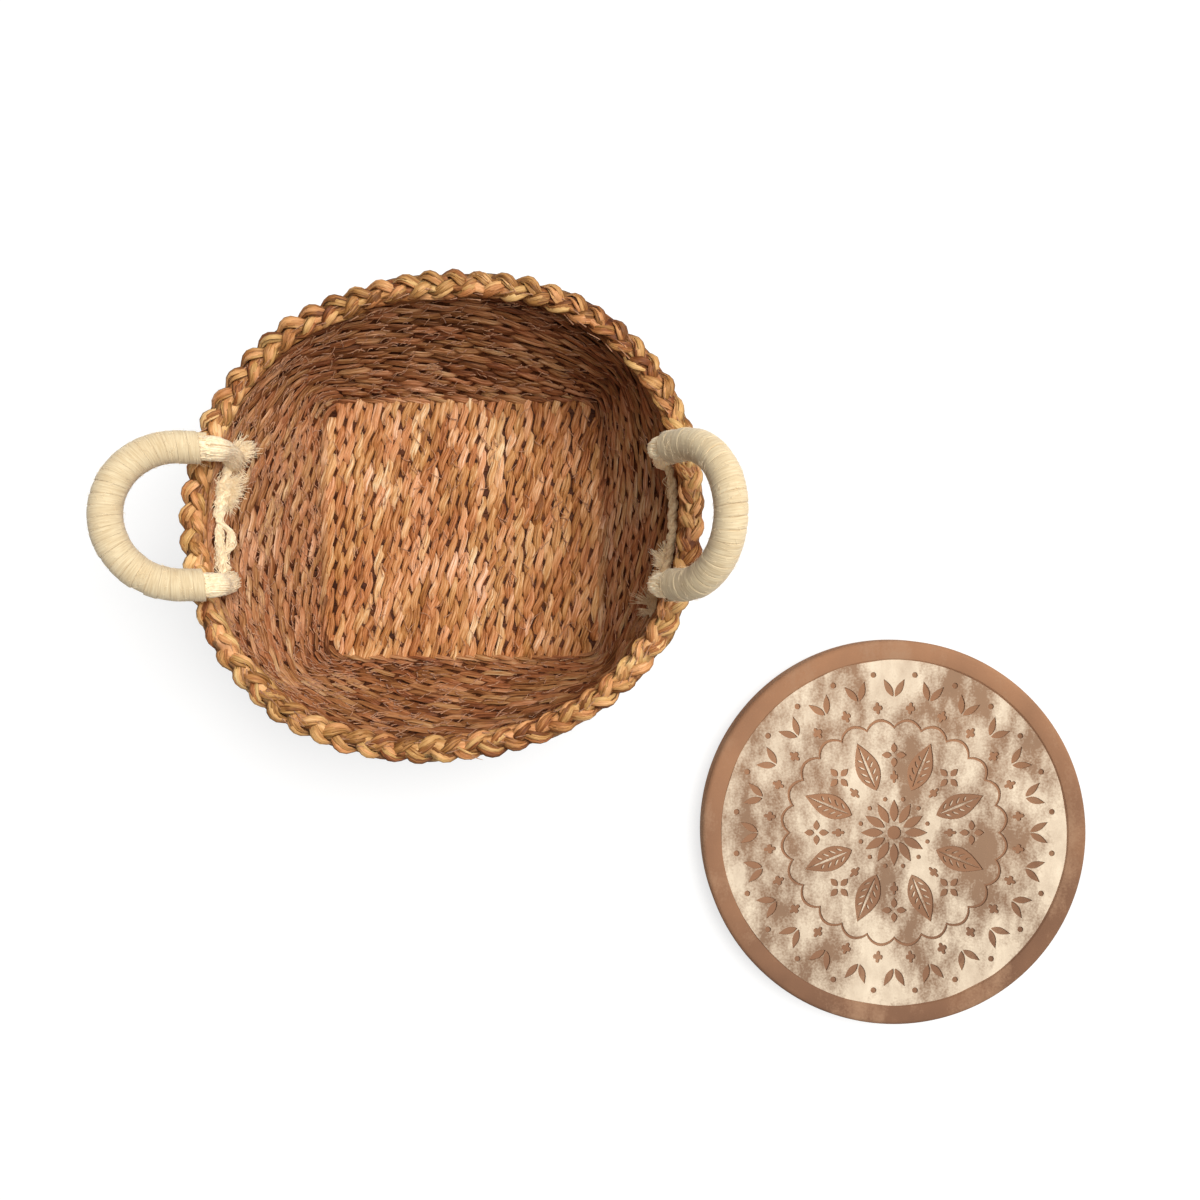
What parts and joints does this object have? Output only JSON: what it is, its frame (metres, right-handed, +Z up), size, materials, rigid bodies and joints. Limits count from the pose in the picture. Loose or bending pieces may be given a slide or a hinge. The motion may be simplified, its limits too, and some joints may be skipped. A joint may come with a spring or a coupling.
{
  "type": "bread warmer basket",
  "caption": "Twined grass bread basket with a square floor, flaring round wall, plaited rim, two wrapped rope handles and a round clay warming stone beside it.",
  "frame": {"origin": "on the table under the middle of the basket's floor", "axes": "+X towards the right handle, across the floor's rows; +Y along the floor's rows, away from the stone; +Z up"},
  "size_m": [0.483, 0.3767, 0.1371],
  "materials": {
    "grass": "dry twined grass, tan to orange brown, matt with a faint sheen",
    "plait": "plaited golden grass blades, soft satin",
    "yarn": "cream cotton yarn wrapping, matt",
    "rope": "cream combed rope fibre, frayed, matt",
    "clay": "unglazed terracotta with a rubbed cream wash, matt"
  },
  "bodies": {
    "basket": {"floor_row_01": "grass", "floor_row_02": "grass", "floor_row_03": "grass", "floor_row_04": "grass", "floor_row_05": "grass", "floor_row_06": "grass", "floor_row_07": "grass", "floor_row_08": "grass", "floor_row_09": "grass", "floor_row_10": "grass", "floor_row_11": "grass", "floor_row_12": "grass", "floor_row_13": "grass", "floor_row_14": "grass", "floor_row_15": "grass", "floor_row_16": "grass", "floor_row_17": "grass", "floor_row_18": "grass", "floor_row_19": "grass", "floor_row_20": "grass", "floor_row_21": "grass", "floor_row_22": "grass", "floor_row_23": "grass", "floor_row_24": "grass", "floor_row_25": "grass", "floor_row_26": "grass", "floor_row_27": "grass", "floor_row_28": "grass", "floor_row_29": "grass", "wall_course_01": "grass", "wall_course_02": "grass", "wall_course_03": "grass", "wall_course_04": "grass", "wall_course_05": "grass", "wall_course_06": "grass", "wall_course_07": "grass", "wall_course_08": "grass", "wall_course_09": "grass", "wall_course_10": "grass", "wall_course_11": "grass", "wall_course_12": "grass", "wall_course_13": "grass", "wall_course_14": "grass", "rim_braid": "plait", "left_back_lashing": "rope", "left_front_lashing": "rope", "left_tie_strand": "rope", "right_back_lashing": "rope", "right_front_lashing": "rope", "right_tie_strand": "rope", "left_back_tuft": "rope", "left_middle_tuft": "rope", "right_middle_tuft": "rope", "right_front_tuft": "rope"},
    "left_handle": {"left_grip_core": "rope", "left_grip_winding": "yarn"},
    "right_handle": {"right_grip_core": "rope", "right_grip_winding": "yarn"},
    "warming_stone": {"warming_stone": "clay"}
  },
  "joints": [
    {"name": "left_handle_hinge", "type": "hinge", "parent": "basket", "child": "left_handle", "pos_m": [-0.10039, 0, 0.09], "axis": [0, 1, 0], "range_deg": [0, 76]},
    {"name": "right_handle_hinge", "type": "hinge", "parent": "basket", "child": "right_handle", "pos_m": [0.10039, 0, 0.09], "axis": [0, -1, 0], "range_deg": [-30, 46]},
    {"name": "stone_lift", "type": "slide", "parent": "basket", "child": "warming_stone", "axis": [0, 0, 1], "range_m": [0, 0.15]}
  ]
}
